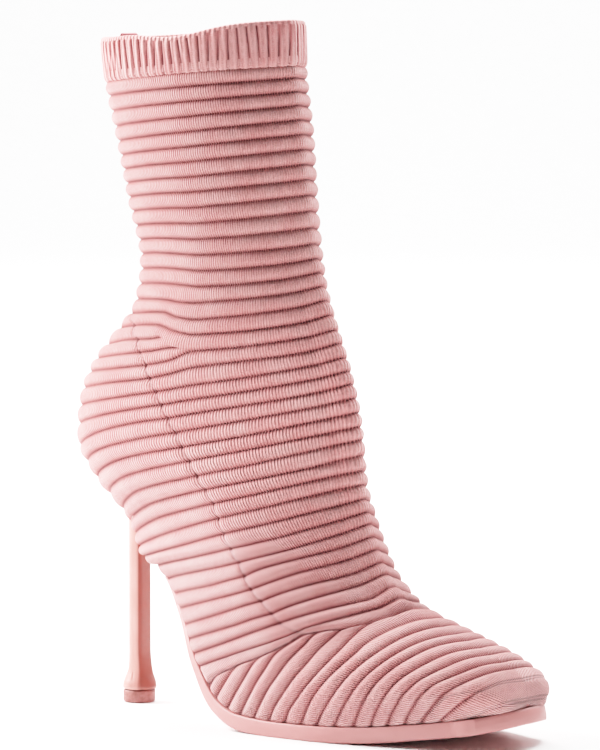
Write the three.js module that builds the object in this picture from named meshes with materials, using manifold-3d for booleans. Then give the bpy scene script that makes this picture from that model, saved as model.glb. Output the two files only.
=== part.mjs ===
import * as THREE from 'three';
import { mergeVertices } from 'three/addons/utils/BufferGeometryUtils.js';
import Module from 'manifold-3d';

// A right-foot stiletto ankle boot: one ribbed knit sock over a last, a moulded sole and a pin heel.
// X runs from the heel bulge to the toe, Y to the wearer's left, Z up from the floor.

// Driving sizes, in millimetres.
const footLength = 226;
const heelHeight = 105;
const shaftHeight = 173;
const ballWidth = 83;
const wall = 2;
const ribDepth = 1.1;
const crestShare = 0.55;
const cuffRibs = 56;
const cuffRibDepth = 1.3;
const cuffValleyDepth = 0.4;
const gap = 0.3;
const lastingMargin = 11;
const insoleThickness = 3;
const insoleEase = 1.3;
const soleThickness = 6.2;
const soleProud = 1.6;
const soleEdgeRound = 0.9;
const tipDiameter = 13.2;
const tipHeight = 5.2;
const tipSetIn = 26;
const pinWidth = 8;
const pinBreast = 3.4;
const loopWidth = 9;
const loopLength = 24;
const loopRise = 2.5;
const loopRibbon = 0.8;
const loopFold = 1;
const loopStandoff = 1;

// One row per section of the sock, from the collar to the toe. Each section is a plane seen from the side
// as a line from its back or bottom end to its front or top end.
// rib: which rib it lies on, counted down from the cuff.
// backX, frontX: shares of the foot length. backLevel, frontLevel: 0 floor, 1 heel height, 2 collar.
// wide, flat: half width at the widest place and along the flat bottom, in shares of half the ball width.
// place: where between the two ends it is widest. back, front: roundness of the two halves.
// inner: half width on the wearer's left as a share of that on the right.
const sectionTable = [
  // rib, backX, backLevel, frontX, frontLevel, wide, flat, place, back, front, inner
  [-3.0, 0.073, 1.960, 0.479, 2.000, 0.771, 0.025, 0.50, 2.1, 1.80, 1.00],
  [0.0, 0.082, 1.858, 0.483, 1.902, 0.771, 0.025, 0.50, 2.1, 1.80, 1.00],
  [4.0, 0.110, 1.717, 0.497, 1.768, 0.759, 0.025, 0.50, 2.1, 1.80, 1.00],
  [8.0, 0.134, 1.584, 0.509, 1.632, 0.735, 0.025, 0.50, 2.1, 1.75, 1.00],
  [12.0, 0.159, 1.448, 0.523, 1.492, 0.711, 0.025, 0.50, 2.1, 1.70, 1.00],
  [15.0, 0.144, 1.344, 0.540, 1.396, 0.728, 0.025, 0.49, 2.1, 1.65, 1.00],
  [17.0, 0.096, 1.272, 0.560, 1.331, 0.747, 0.025, 0.47, 2.1, 1.65, 1.00],
  [19.0, 0.043, 1.199, 0.584, 1.266, 0.754, 0.025, 0.45, 2.1, 1.65, 1.00],
  [21.0, 0.014, 1.127, 0.607, 1.196, 0.759, 0.025, 0.44, 2.1, 1.65, 1.00],
  [24.0, 0.000, 1.012, 0.626, 1.090, 0.759, 0.025, 0.46, 2.0, 1.65, 1.00],
  [26.0, 0.034, 0.876, 0.630, 1.020, 0.771, 0.025, 0.54, 1.8, 1.65, 0.99],
  [28.0, 0.100, 0.729, 0.632, 0.919, 0.783, 0.035, 0.60, 1.5, 1.65, 0.98],
  [30.0, 0.146, 0.590, 0.647, 0.801, 0.807, 0.145, 0.62, 1.3, 1.70, 0.96],
  [32.0, 0.235, 0.529, 0.666, 0.690, 0.843, 0.337, 0.58, 1.4, 1.75, 0.94],
  [34.0, 0.312, 0.405, 0.693, 0.577, 0.892, 0.578, 0.52, 1.6, 1.80, 0.92],
  [36.0, 0.385, 0.233, 0.737, 0.490, 0.940, 0.795, 0.42, 1.8, 1.90, 0.92],
  [38.0, 0.456, 0.102, 0.742, 0.485, 0.971, 0.916, 0.34, 2.0, 1.90, 0.94],
  [39.0, 0.500, 0.070, 0.745, 0.482, 0.983, 0.950, 0.30, 2.0, 1.90, 0.95],
  [41.0, 0.588, 0.059, 0.752, 0.472, 0.992, 0.970, 0.26, 2.0, 1.90, 0.97],
  [43.0, 0.677, 0.061, 0.814, 0.418, 0.965, 0.948, 0.24, 2.0, 2.00, 0.98],
  [45.0, 0.765, 0.070, 0.881, 0.364, 0.872, 0.855, 0.24, 2.0, 2.15, 0.99],
  [47.0, 0.852, 0.091, 0.938, 0.314, 0.730, 0.711, 0.26, 2.0, 2.45, 1.00],
  [49.0, 0.927, 0.114, 0.977, 0.271, 0.592, 0.564, 0.34, 2.0, 2.50, 1.00],
  [50.0, 0.955, 0.126, 0.993, 0.242, 0.490, 0.470, 0.40, 2.0, 2.20, 1.00],
  [50.5, 0.988, 0.143, 0.998, 0.195, 0.330, 0.300, 0.50, 2.0, 2.20, 1.00],
];

const cuffTop = sectionTable[0][0];
const insideToeShort = 1.1;
const cuffBottom = 0;
const rolledRim = 0.2;
const toeEnd = 50.5;
const gatherStart = 36;
const gatherEnd = 41;
const insideStep = 2.5;
const backSteps = 6;
const frontSteps = 8;

// Slopes that keep a curve through the rows free of overshoot.
function rowSlope(table, row, column) {
  const last = table.length - 1;
  const step = (i) => table[i + 1][0] - table[i][0];
  const grade = (i) => (table[i + 1][column] - table[i][column]) / step(i);
  if (row === 0) return grade(0);
  if (row === last) return grade(last - 1);
  const before = grade(row - 1);
  const after = grade(row);
  if (before * after <= 0) return 0;
  const a = 2 * step(row) + step(row - 1);
  const b = step(row) + 2 * step(row - 1);
  return (a + b) / (a / before + b / after);
}

function tableValue(table, key, column) {
  let row = 0;
  while (row < table.length - 2 && key >= table[row + 1][0]) row += 1;
  const span = table[row + 1][0] - table[row][0];
  const q = (key - table[row][0]) / span;
  const startSlope = rowSlope(table, row, column) * span;
  const endSlope = rowSlope(table, row + 1, column) * span;
  return (2 * q ** 3 - 3 * q ** 2 + 1) * table[row][column]
    + (q ** 3 - 2 * q ** 2 + q) * startSlope
    + (3 * q ** 2 - 2 * q ** 3) * table[row + 1][column]
    + (q ** 3 - q ** 2) * endSlope;
}

function levelToHeight(level) {
  if (level <= 1) return level * heelHeight;
  return heelHeight + (level - 1) * shaftHeight;
}

function sectionAt(rib) {
  const value = (column) => tableValue(sectionTable, rib, column);
  const half = ballWidth / 2;
  return {
    back: new THREE.Vector2(value(1) * footLength, levelToHeight(value(2))),
    front: new THREE.Vector2(value(3) * footLength, levelToHeight(value(4))),
    wide: value(5) * half,
    flat: value(6) * half,
    place: value(7),
    backRound: value(8),
    frontRound: value(9),
    inner: value(10),
  };
}

// Half of a section as points of (distance from the back end, half width), back to front.
function halfSection(section) {
  const length = section.back.distanceTo(section.front);
  const widest = section.place * length;
  const points = [new THREE.Vector2(0, 0)];
  for (let i = 0; i <= backSteps; i += 1) {
    const angle = (i / backSteps) * Math.PI / 2;
    const along = widest * (1 - Math.cos(angle) ** (2 / section.backRound));
    const rise = Math.sin(angle) ** (2 / section.backRound);
    const width = section.flat + (section.wide - section.flat) * rise;
    points.push(new THREE.Vector2(i === backSteps ? widest : along, width));
  }
  for (let i = 1; i <= frontSteps; i += 1) {
    const angle = (i / frontSteps) * Math.PI / 2;
    const along = widest + (length - widest) * Math.sin(angle) ** (2 / section.frontRound);
    const width = section.wide * Math.abs(Math.cos(angle)) ** (2 / section.frontRound);
    points.push(new THREE.Vector2(along, i === frontSteps ? 0 : width));
  }
  return points;
}

// The outward direction of the half section at a point; both ends point straight along the section.
function outward(points, i) {
  if (i === 0) return new THREE.Vector2(-1, 0);
  if (i === points.length - 1) return new THREE.Vector2(1, 0);
  const along = points[i + 1].clone().sub(points[i - 1]);
  return new THREE.Vector2(-along.y, along.x).normalize();
}

// A whole ring of the sock. lift(share, section) gives how far each point stands out from the form.
function sockRing(rib, lift) {
  const section = sectionAt(rib);
  const points = halfSection(section);
  const line = section.front.clone().sub(section.back).normalize();
  const last = points.length - 1;
  const half = points.map((point, i) => {
    const moved = outward(points, i).multiplyScalar(lift(i / last, section)).add(point);
    return { x: section.back.x + line.x * moved.x, y: moved.y, z: section.back.y + line.y * moved.x };
  });
  const right = half.map((p) => new THREE.Vector3(p.x, -p.y, p.z));
  const left = half.slice(1, last).reverse().map((p) => new THREE.Vector3(p.x, p.y * section.inner, p.z));
  return right.concat(left);
}

// A closed skin through rings of equal count, with a fan over each end.
function skin(rings) {
  const count = rings[0].length;
  const positions = rings.flat().flatMap((p) => [p.x, p.y, p.z]);
  const index = [];
  for (let r = 0; r + 1 < rings.length; r += 1) {
    for (let i = 0; i < count; i += 1) {
      const a = r * count + i;
      const b = r * count + ((i + 1) % count);
      index.push(a, b, a + count, b, b + count, a + count);
    }
  }
  const cap = (ring, start, flip) => {
    const centre = ring.reduce((sum, p) => sum.add(p), new THREE.Vector3()).divideScalar(count);
    const hub = positions.length / 3;
    positions.push(centre.x, centre.y, centre.z);
    for (let i = 0; i < count; i += 1) {
      const a = start + i;
      const b = start + ((i + 1) % count);
      index.push(...(flip ? [a, b, hub] : [b, a, hub]));
    }
  };
  cap(rings[0], 0, false);
  cap(rings[rings.length - 1], (rings.length - 1) * count, true);
  const geometry = new THREE.BufferGeometry();
  geometry.setAttribute('position', new THREE.Float32BufferAttribute(positions, 3));
  geometry.setIndex(index);
  return facingOut(geometry);
}

function facingOut(geometry) {
  const p = geometry.attributes.position;
  const index = geometry.index.array;
  const corner = (i) => new THREE.Vector3().fromBufferAttribute(p, index[i]);
  let volume = 0;
  for (let i = 0; i < index.length; i += 3) {
    volume += corner(i).dot(corner(i + 1).cross(corner(i + 2)));
  }
  if (volume > 0) return geometry;
  const turned = Array.from(index);
  for (let i = 0; i < turned.length; i += 3) {
    [turned[i], turned[i + 1]] = [turned[i + 1], turned[i]];
  }
  geometry.setIndex(turned);
  return geometry;
}

const wasm = await Module();
wasm.setup();

function solid(geometry) {
  const bare = geometry.clone();
  bare.deleteAttribute('normal');
  bare.deleteAttribute('uv');
  const merged = mergeVertices(bare, 1e-4);
  return new wasm.Manifold(new wasm.Mesh({
    numProp: 3,
    vertProperties: new Float32Array(merged.attributes.position.array),
    triVerts: new Uint32Array(merged.index.array),
  }));
}

// Cuts leave hair-thin triangles. Corners closer than the weld are joined, and a triangle whose corner
// lies on its own longest edge is swapped with its neighbour across that edge.
const weld = 0.02;

function weldedCorners(mesh) {
  const cells = new Map();
  const kept = [];
  const cellOf = (p, dx, dy, dz) => {
    const cell = [p.x / weld + dx, p.y / weld + dy, p.z / weld + dz];
    return cell.map(Math.floor).join();
  };
  const near = (p) => {
    for (const dx of [0, -1, 1]) {
      for (const dy of [0, -1, 1]) {
        for (const dz of [0, -1, 1]) {
          const found = (cells.get(cellOf(p, dx, dy, dz)) ?? []).find((i) => kept[i].distanceTo(p) < weld);
          if (found !== undefined) return found;
        }
      }
    }
    return undefined;
  };
  const joined = [];
  for (let i = 0; i < mesh.vertProperties.length; i += 3) {
    const p = new THREE.Vector3().fromArray(mesh.vertProperties, i);
    let corner = near(p);
    if (corner === undefined) {
      corner = kept.push(p) - 1;
      const cell = cellOf(p, 0, 0, 0);
      cells.set(cell, [...(cells.get(cell) ?? []), corner]);
    }
    joined.push(corner);
  }
  return { kept, index: Array.from(mesh.triVerts, (i) => joined[i]) };
}

function trianglesOf(index) {
  const list = [];
  for (let i = 0; i < index.length; i += 3) {
    const [a, b, c] = index.slice(i, i + 3);
    if (a !== b && b !== c && c !== a) list.push([a, b, c]);
  }
  return list;
}

function longestEdge(triangle, point) {
  let best = 0;
  let length = 0;
  for (let k = 0; k < 3; k += 1) {
    const span = point(triangle[k]).distanceTo(point(triangle[(k + 1) % 3]));
    if (span > length) {
      length = span;
      best = k;
    }
  }
  return { start: best, length };
}

function swapThinTriangles(triangles, point) {
  const owner = new Map();
  triangles.forEach((t, i) => t.forEach((a, k) => owner.set(`${a},${t[(k + 1) % 3]}`, i)));
  let swaps = 0;
  triangles.forEach((t, i) => {
    const { start, length } = longestEdge(t, point);
    const [a, b, tip] = [t[start], t[(start + 1) % 3], t[(start + 2) % 3]];
    const area = point(b).sub(point(a)).cross(point(tip).sub(point(a))).length();
    const other = owner.get(`${b},${a}`);
    if (area / length > weld / 4 || other === undefined) return;
    const far = triangles[other].find((v) => v !== a && v !== b);
    if (owner.has(`${tip},${far}`) || owner.has(`${far},${tip}`)) return;
    triangles[i] = [a, far, tip];
    triangles[other] = [far, b, tip];
    owner.delete(`${a},${b}`);
    owner.delete(`${b},${a}`);
    for (const n of [i, other]) {
      triangles[n].forEach((v, k) => owner.set(`${v},${triangles[n][(k + 1) % 3]}`, n));
    }
    swaps += 1;
  });
  return swaps;
}

function shapeOf(body) {
  const { kept, index } = weldedCorners(body.getMesh());
  const triangles = trianglesOf(index);
  const point = (i) => kept[i].clone();
  for (let pass = 0; pass < 6 && swapThinTriangles(triangles, point) > 0; pass += 1);
  const geometry = new THREE.BufferGeometry();
  geometry.setAttribute('position', new THREE.Float32BufferAttribute(kept.flatMap((p) => p.toArray()), 3));
  geometry.setIndex(triangles.flat());
  return geometry;
}

// A slab with a side outline in the XZ plane, centred on Y.
function sideSlab(outline, width) {
  const geometry = new THREE.ExtrudeGeometry(new THREE.Shape(outline), {
    depth: width, bevelEnabled: false, curveSegments: 1,
  });
  geometry.translate(0, 0, -width / 2);
  geometry.rotateX(Math.PI / 2);
  return solid(geometry);
}

// How far the ribs stand out or in: full on the sides, none on the flat bottom, less where they gather.
function ribLift(rib) {
  const crest = Math.abs(rib - Math.round(rib)) > 0.25;
  return (share, section) => {
    const rise = (crest ? crestShare : crestShare - 1) * ribDepth;
    const bottomFade = THREE.MathUtils.smoothstep(share, 0.04, 0.16);
    const held = THREE.MathUtils.smoothstep(section.flat, 1.5, 8);
    const gathered = rib > gatherStart && rib < gatherEnd ? 1 - share : 1;
    return rise * gathered * THREE.MathUtils.lerp(1, bottomFade, held);
  };
}

function ribRows() {
  const rows = [cuffTop, cuffTop / 2, cuffBottom - 0.1];
  for (let rib = cuffBottom; rib < Math.floor(toeEnd); rib += 1) rows.push(rib + 0.5, rib + 1);
  rows.push(toeEnd);
  return rows;
}

function innerSkin(offset, toeShort) {
  const rings = [];
  const inset = () => -offset;
  const rim = sockRing(cuffTop, inset);
  rings.push(rim.map((p) => p.clone().add(new THREE.Vector3(0, 0, 2 * wall + ribDepth))));
  for (let rib = cuffTop; rib < toeEnd - toeShort; rib += insideStep) rings.push(sockRing(rib, inset));
  rings.push(sockRing(toeEnd - toeShort, inset));
  return solid(skin(rings));
}

// The underside centre line, its downward direction and its half widths.
function underside(rib) {
  const near = 0.05;
  const here = sectionAt(rib);
  const before = sectionAt(Math.max(cuffTop, rib - near)).back;
  const after = sectionAt(Math.min(toeEnd, rib + near)).back;
  const along = after.clone().sub(before).normalize();
  return { point: here.back, down: new THREE.Vector2(along.y, -along.x), half: here.flat, inner: here.inner };
}

// The cuff: a band of upright ribs round the collar, standing out from the shaft.
function cuffBand() {
  const levels = [cuffTop + rolledRim, cuffBottom];
  const band = (lift) => levels.map((rib) => {
    const ring = sockRing(rib, () => 0);
    const curve = new THREE.CatmullRomCurve3(ring, true);
    const centre = ring.reduce((sum, p) => sum.add(p), new THREE.Vector3()).divideScalar(ring.length);
    return curve.getSpacedPoints(2 * cuffRibs).slice(0, -1).map((p, i) => {
      const out = p.clone().sub(centre).setZ(0).normalize();
      return p.add(out.multiplyScalar(lift(i)));
    });
  });
  return solid(skin(band((i) => (i % 2 ? cuffRibDepth : cuffValleyDepth))));
}

const openingStart = 33;
const openingEnd = 48.5;

function openingBelow() {
  const rings = [];
  for (let rib = openingStart; rib <= openingEnd; rib += 0.5) {
    const { point, down, half, inner } = underside(rib);
    const width = Math.max(half - lastingMargin, wall);
    const top = point.clone().addScaledVector(down, -2 * wall);
    const bottom = point.clone().addScaledVector(down, 2 * wall);
    rings.push([
      new THREE.Vector3(top.x, -width, top.y),
      new THREE.Vector3(bottom.x, -width, bottom.y),
      new THREE.Vector3(bottom.x, width * inner, bottom.y),
      new THREE.Vector3(top.x, width * inner, top.y),
    ]);
  }
  return solid(skin(rings));
}

// The pin: round at the back, flat at the breast, flaring to a round foot over the tip.
// Rows: share of the way from the tip up to the block, half width and breast in shares of their sizes.
const pinTable = [
  // up, width share, breast share
  [0.00, 1.62, 1.80],
  [0.03, 1.66, 1.86],
  [0.06, 1.45, 1.60],
  [0.10, 1.12, 1.15],
  [0.16, 1.00, 1.00],
  [1.00, 1.00, 1.00],
];
const pinTopShare = 0.82;
const pinTop = pinTopShare * heelHeight;
const pinArcSteps = 10;

function pinSolid(grow) {
  const base = tipHeight + gap - grow;
  const rings = pinTable.map(([up, widthShare, breastShare]) => {
    const radius = (pinWidth / 2) * widthShare + grow;
    const breast = pinBreast * breastShare + grow;
    const height = base + up * (pinTop - base);
    const side = Math.min(breast / radius, 0.94);
    const start = Math.acos(side);
    const points = [];
    for (let i = 0; i <= pinArcSteps; i += 1) {
      const angle = start + (i / pinArcSteps) * (2 * Math.PI - 2 * start);
      points.push(new THREE.Vector3(tipSetIn + radius * Math.cos(angle), radius * Math.sin(angle), height));
    }
    return points;
  });
  return solid(skin(rings));
}

// The foot bed seen from the side, in shares of foot length and of heel height.
const bedTable = [
  [-0.02, 0.985], [0.08, 0.975], [0.16, 0.935], [0.225, 0.845], [0.28, 0.715], [0.335, 0.565], [0.39, 0.400],
  [0.445, 0.240], [0.50, 0.134], [0.56, 0.098], [0.66, 0.098], [0.78, 0.109], [0.88, 0.134], [1.02, 0.176],
];

function bedLine(depth) {
  const points = bedTable.map(([x, z]) => new THREE.Vector2(x * footLength, z * heelHeight));
  const curve = new THREE.SplineCurve(points);
  const steps = 26;
  const line = [];
  for (let i = 0; i <= steps; i += 1) {
    const tangent = curve.getTangent(i / steps);
    line.push(curve.getPoint(i / steps).add(new THREE.Vector2(tangent.y, -tangent.x).multiplyScalar(depth)));
  }
  return line;
}

function makeUpper() {
  const outer = solid(skin(ribRows().map((rib) => sockRing(rib, ribLift(rib))))).add(cuffBand());
  return outer.subtract(innerSkin(wall, insideToeShort)).subtract(openingBelow()).subtract(pinSolid(gap));
}

// Half width inside the sock at a place in the side view, kept a given distance in from its outer form.
function insideHalfWidth(x, z, inset) {
  const side = (rib) => {
    const { back, front } = sectionAt(rib);
    return (front.x - back.x) * (z - back.y) - (front.y - back.y) * (x - back.x);
  };
  let low = cuffBottom;
  let high = toeEnd;
  for (let i = 0; i < 24; i += 1) {
    const middle = (low + high) / 2;
    if (side(middle) < 0) low = middle;
    else high = middle;
  }
  const section = sectionAt(low);
  const room = section.back.distanceTo(section.front) - 2 * inset;
  const share = (Math.hypot(x - section.back.x, z - section.back.y) - inset) / room;
  const widest = section.wide - inset;
  const flat = Math.max(section.flat - inset, 0);
  if (share <= 0) return flat;
  if (share > section.place) {
    const past = (share - section.place) / (1 - section.place);
    return widest * (1 - past ** section.frontRound) ** (1 / section.frontRound);
  }
  const short = 1 - share / section.place;
  return flat + (widest - flat) * (1 - short ** section.backRound) ** (1 / section.backRound);
}

// The rib whose section ends at a place along the underside.
const undersideStart = 30;

function ribUnder(x) {
  let rib = undersideStart;
  while (rib < toeEnd && sectionAt(rib).back.x < x) rib += 0.25;
  return rib;
}

const marginStart = 0.385;
const heelBreast = 0.255;

// Height of the turned-in margin that the insole lies on, under the forefoot.
function marginHeight(x) {
  const onMargin = (rib) => sockRing(rib, () => -wall - 2 * gap)[0];
  let rib = 34;
  while (rib < toeEnd && onMargin(rib + 0.25).x < x) rib += 0.25;
  const before = onMargin(rib);
  const after = onMargin(rib + 0.25);
  return THREE.MathUtils.mapLinear(x, before.x, after.x, before.z, after.z);
}

function makeInsole() {
  const inset = wall + insoleEase;
  const insideBack = 1.2 * inset;
  const insideToe = sockRing(toeEnd - insideToeShort, () => -wall)[0].x - gap;
  const top = bedLine(0);
  const bottom = bedLine(insoleThickness);
  const rings = [];
  top.forEach((high, i) => {
    const low = bottom[i].clone();
    if (low.x > insideToe || high.x > insideToe || low.x < insideBack) return;
    if (low.x > marginStart * footLength) low.y = Math.max(low.y, marginHeight(low.x));
    const highHalf = insideHalfWidth(high.x, high.y, inset);
    const lowHalf = Math.min(insideHalfWidth(low.x, low.y, inset), highHalf);
    const inner = sectionAt(ribUnder(high.x)).inner;
    rings.push([
      new THREE.Vector3(high.x, -highHalf, high.y),
      new THREE.Vector3(low.x, -lowHalf, low.y),
      new THREE.Vector3(low.x, lowHalf * inner, low.y),
      new THREE.Vector3(high.x, highHalf * inner, high.y),
    ]);
  });
  return solid(skin(rings));
}

function makeHeel(room) {
  const breastX = heelBreast * footLength;
  const under = bedLine(insoleThickness + gap).filter((p) => p.x < breastX);
  const outline = under.concat([new THREE.Vector2(breastX, 0), new THREE.Vector2(under[0].x, 0)]);
  return room.intersect(sideSlab(outline, 2 * ballWidth)).add(pinSolid(0));
}

// The sole: a thin waist that thickens to the forefoot, flat where it treads, with an eased lower edge.
// Rows: rib, thickness as a share of the forefoot thickness, how far it stands proud as a share.
const soleTable = [
  [32.0, 0.24, 0.0],
  [34.0, 0.36, 0.0],
  [36.0, 0.60, 0.3],
  [38.0, 0.85, 0.8],
  [39.5, 1.00, 1.0],
  [49.0, 1.00, 1.0],
];
const soleToeLip = 1.5;
const soleStart = soleTable[0][0];
const soleEnd = soleTable[soleTable.length - 1][0];
// Past the last row the sole rounds off to a square toe: share of the way to the tip, share of the width.
const toeRound = [[0.34, 0.955], [0.50, 0.89], [0.61, 0.79], [0.73, 0.58], [0.90, 0.32], [1, 0.12]];

function soleRing(top, bottom, right, left) {
  const ease = Math.min(soleEdgeRound, 0.4 * top.distanceTo(bottom));
  const side = bottom.clone().lerp(top, ease / top.distanceTo(bottom));
  return [
    new THREE.Vector3(top.x, -right, top.y),
    new THREE.Vector3(side.x, -right, side.y),
    new THREE.Vector3(bottom.x, ease - right, bottom.y),
    new THREE.Vector3(bottom.x, left - ease, bottom.y),
    new THREE.Vector3(side.x, left, side.y),
    new THREE.Vector3(top.x, left, top.y),
  ];
}

function makeOutsole() {
  const rings = [];
  const place = (point, down, thickness, right, left) => {
    const top = point.clone().addScaledVector(down, gap);
    const bottom = top.clone().addScaledVector(down, thickness);
    bottom.y = Math.max(bottom.y, 0);
    rings.push(soleRing(top, bottom, right, left));
  };
  for (let rib = soleStart; rib <= soleEnd; rib += 0.5) {
    const { point, down, half, inner } = underside(rib);
    const proud = tableValue(soleTable, rib, 2) * soleProud;
    place(point, down, tableValue(soleTable, rib, 1) * soleThickness, half + proud, half * inner + proud);
  }
  const end = underside(soleEnd);
  const toe = sectionAt(toeEnd).front.x + soleToeLip;
  const slope = new THREE.Vector2(-end.down.y, end.down.x);
  for (const [share, narrow] of toeRound) {
    const point = end.point.clone().addScaledVector(slope, share * (toe - end.point.x) / slope.x);
    const right = (end.half + soleProud) * narrow;
    const left = (end.half * end.inner + soleProud) * narrow;
    place(point, end.down, soleThickness, right, left);
  }
  return solid(skin(rings));
}

function makeHeelTip() {
  const radius = tipDiameter / 2;
  const ease = 0.6;
  const profile = [
    new THREE.Vector2(0, 0),
    new THREE.Vector2(radius - ease, 0),
    new THREE.Vector2(radius, ease),
    new THREE.Vector2(radius, tipHeight - ease),
    new THREE.Vector2(radius - ease, tipHeight),
    new THREE.Vector2(0, tipHeight),
  ];
  const geometry = new THREE.LatheGeometry(profile, 20);
  geometry.rotateX(Math.PI / 2);
  geometry.translate(tipSetIn, 0, 0);
  return solid(geometry);
}

// The pull loop: a flat ribbon doubled over, standing inside the back of the cuff.
function makePullLoop() {
  const thick = 2 * loopRibbon + loopFold;
  const bow = (halfWidth, top, Path) => {
    const path = new Path();
    path.moveTo(-halfWidth, -loopLength + top);
    path.lineTo(halfWidth, -loopLength + top);
    path.lineTo(halfWidth, -halfWidth - (thick / 2 - halfWidth));
    path.absarc(0, -thick / 2, halfWidth, 0, Math.PI, false);
    path.lineTo(-halfWidth, -loopLength + top);
    return path;
  };
  const shape = bow(thick / 2, 0, THREE.Shape);
  shape.holes.push(bow(loopFold / 2, loopRibbon, THREE.Path));
  const geometry = new THREE.ExtrudeGeometry(shape, {
    depth: loopWidth, bevelEnabled: false, curveSegments: 6,
  });
  geometry.translate(0, 0, -loopWidth / 2);
  geometry.rotateX(Math.PI / 2);
  const rim = sectionAt(cuffTop).back;
  const hem = sectionAt(cuffBottom).back;
  const lean = Math.atan2(rim.x - hem.x, rim.y - hem.y);
  geometry.rotateY(lean);
  geometry.translate(rim.x + wall + loopStandoff + thick / 2, 0, rim.y + loopRise);
  return solid(geometry);
}

function material(color, roughness) {
  return new THREE.MeshStandardMaterial({ color, roughness, metalness: 0 });
}

function piece(name, body, finish) {
  const mesh = new THREE.Mesh(shapeOf(body), finish);
  mesh.name = name;
  return mesh;
}

const room = innerSkin(wall + gap, 1.4);
const boot = new THREE.Group();
boot.add(
  piece('upper', makeUpper(), material(0xd99f9e, 0.9)),
  piece('insole', makeInsole(), material(0xdcb0a8, 0.8)),
  piece('heel', makeHeel(room), material(0xe8b9b2, 0.4)),
  piece('outsole', makeOutsole(), material(0xd99a96, 0.5)),
  piece('heel_tip', makeHeelTip(), material(0xc08078, 0.55)),
  piece('pull_loop', makePullLoop(), material(0xc7686c, 0.7)),
);
const box = new THREE.Box3().setFromObject(boot);
boot.position.set(-(box.min.x + box.max.x) / 2, -(box.min.y + box.max.y) / 2, -box.min.z);

export default boot;
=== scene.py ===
import math
import bpy
import numpy as np
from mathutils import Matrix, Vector


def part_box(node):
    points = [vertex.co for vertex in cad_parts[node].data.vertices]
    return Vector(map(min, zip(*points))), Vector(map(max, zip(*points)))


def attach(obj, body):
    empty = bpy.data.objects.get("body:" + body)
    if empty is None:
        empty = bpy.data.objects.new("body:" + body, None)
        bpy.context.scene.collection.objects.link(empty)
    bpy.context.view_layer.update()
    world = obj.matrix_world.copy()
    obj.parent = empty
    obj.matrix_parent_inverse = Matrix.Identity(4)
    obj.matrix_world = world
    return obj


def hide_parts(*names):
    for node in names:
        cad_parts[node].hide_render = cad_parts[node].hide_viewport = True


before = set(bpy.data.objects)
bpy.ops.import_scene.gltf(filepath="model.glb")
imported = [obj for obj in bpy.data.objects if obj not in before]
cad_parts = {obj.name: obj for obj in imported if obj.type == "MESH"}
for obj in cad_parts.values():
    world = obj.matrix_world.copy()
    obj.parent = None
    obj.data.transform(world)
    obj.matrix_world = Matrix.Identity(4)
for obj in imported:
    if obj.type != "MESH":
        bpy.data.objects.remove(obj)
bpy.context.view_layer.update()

MM = 0.001
FOOT, HEEL_HIGH, SHAFT_HIGH, BALL = 226.0, 105.0, 173.0, 83.0
RIB_HIGH, RIB_ROUND = 1.6, 0.7
WALE, SHAFT_WALES = 0.95, 118
TIP_AT = 26.0
tip_low, tip_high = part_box("heel_tip")
ORIGIN = np.array([(tip_low.x + tip_high.x) / 2 / MM - TIP_AT, (tip_low.y + tip_high.y) / 2 / MM, 0.0])

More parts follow.
